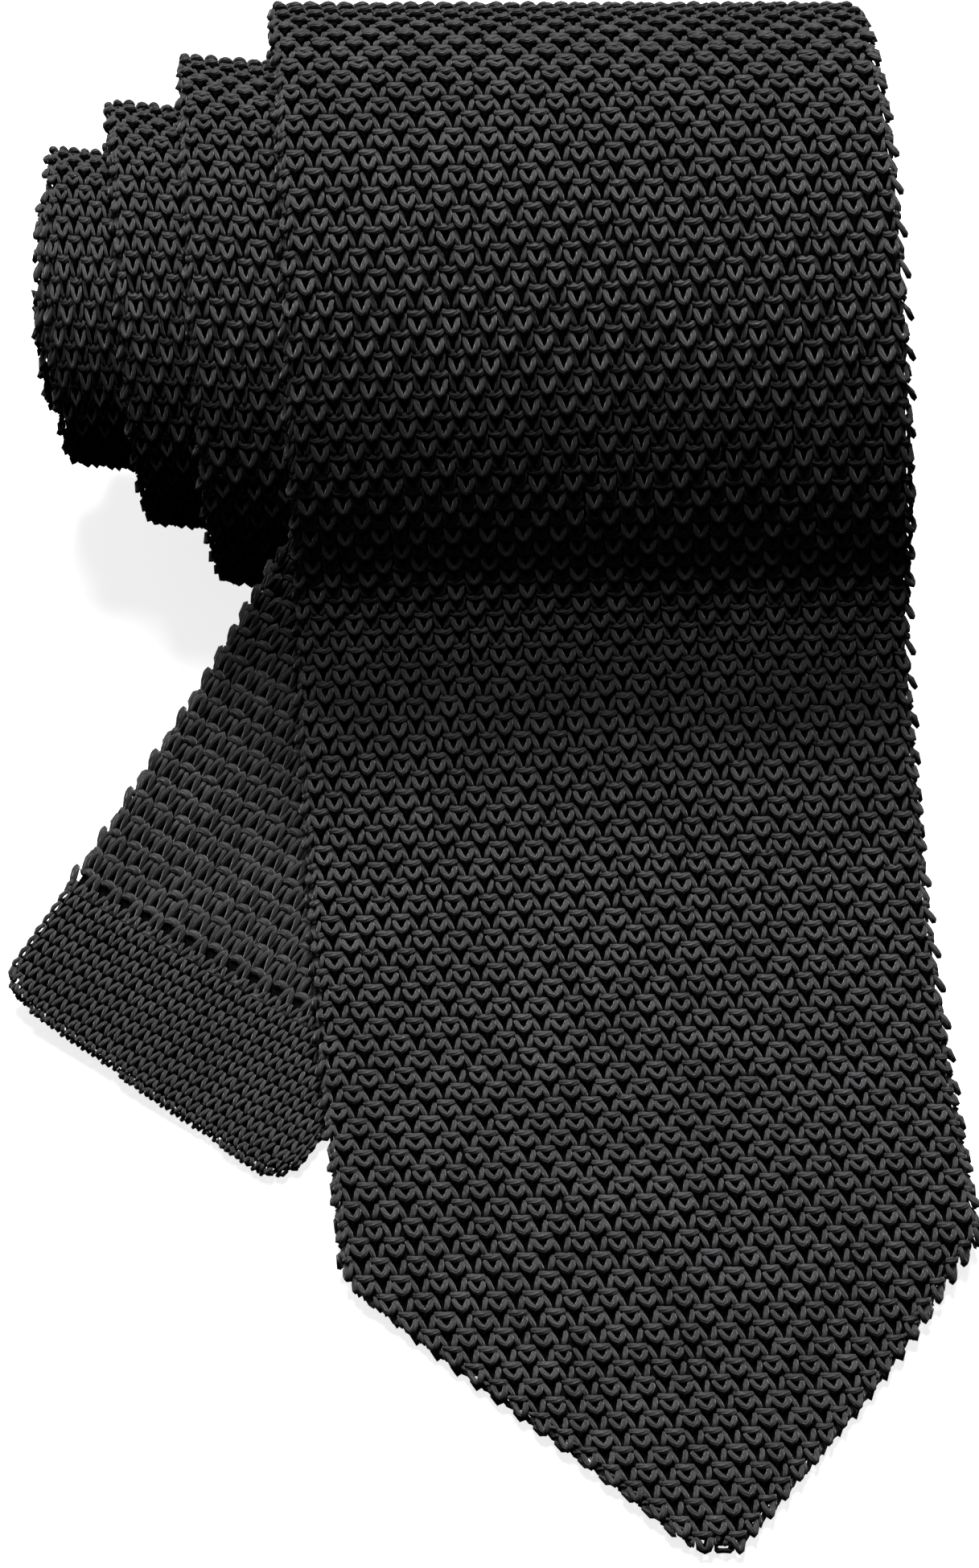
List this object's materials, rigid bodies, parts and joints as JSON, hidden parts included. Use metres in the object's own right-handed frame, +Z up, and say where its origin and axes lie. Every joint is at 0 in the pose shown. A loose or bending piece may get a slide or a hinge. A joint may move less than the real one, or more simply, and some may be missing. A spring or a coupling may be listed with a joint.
{
  "type": "necktie",
  "caption": "Knitted necktie folded double and rolled up, with its pointed blade draped down the front of the roll and its square tail slanting out beneath.",
  "frame": {"origin": "middle of the underside of the bounding box, on the surface that the tie lies on", "axes": "+X along the axis of the roll towards its hollow end, -Y the way the blade points, +Z up"},
  "size_m": [0.1088, 0.185, 0.0698],
  "materials": {
    "knit_fabric": "cross-tuck knit, black, matt with a soft sheen",
    "hem_knit": "plain jersey knit, black",
    "ribbon": "woven satin ribbon, black",
    "thread": "sewing thread, black"
  },
  "bodies": {
    "roll": {"blade_turn_1": "knit_fabric", "blade_turn_2": "knit_fabric", "blade_turn_3": "knit_fabric", "blade_turn_4": "knit_fabric", "blade_turn_5": "knit_fabric", "tail_turn_1": "knit_fabric", "tail_turn_2": "knit_fabric", "tail_turn_3": "knit_fabric", "tail_turn_4": "knit_fabric", "tail_turn_5": "knit_fabric", "middle_fold": "knit_fabric", "neck_tape": "ribbon", "keeper_loop": "ribbon", "keeper_tack_left": "thread", "keeper_tack_right": "thread", "blank_label": "ribbon"},
    "blade": {"blade_drape": "knit_fabric"},
    "point": {"blade_point": "knit_fabric"},
    "tail": {"tail_drape": "knit_fabric", "tail_hem": "hem_knit"}
  },
  "joints": [
    {"name": "blade_lift", "type": "hinge", "parent": "roll", "child": "blade", "pos_m": [0, 0.01981, 0.03461], "axis": [-1, 0, 0], "range_deg": [0, 60]},
    {"name": "point_fold", "type": "hinge", "parent": "blade", "child": "point", "pos_m": [0, -0.0435, 0.00577], "axis": [-1, 0, 0], "range_deg": [0, 60]},
    {"name": "tail_lift", "type": "hinge", "parent": "roll", "child": "tail", "pos_m": [0, 0.02203, 0.02928], "axis": [-1, 0, 0], "range_deg": [0, 24]}
  ],
  "couplings": [
    {"joint": "tail_lift", "follows": "blade_lift", "ratio": 0.4}
  ]
}
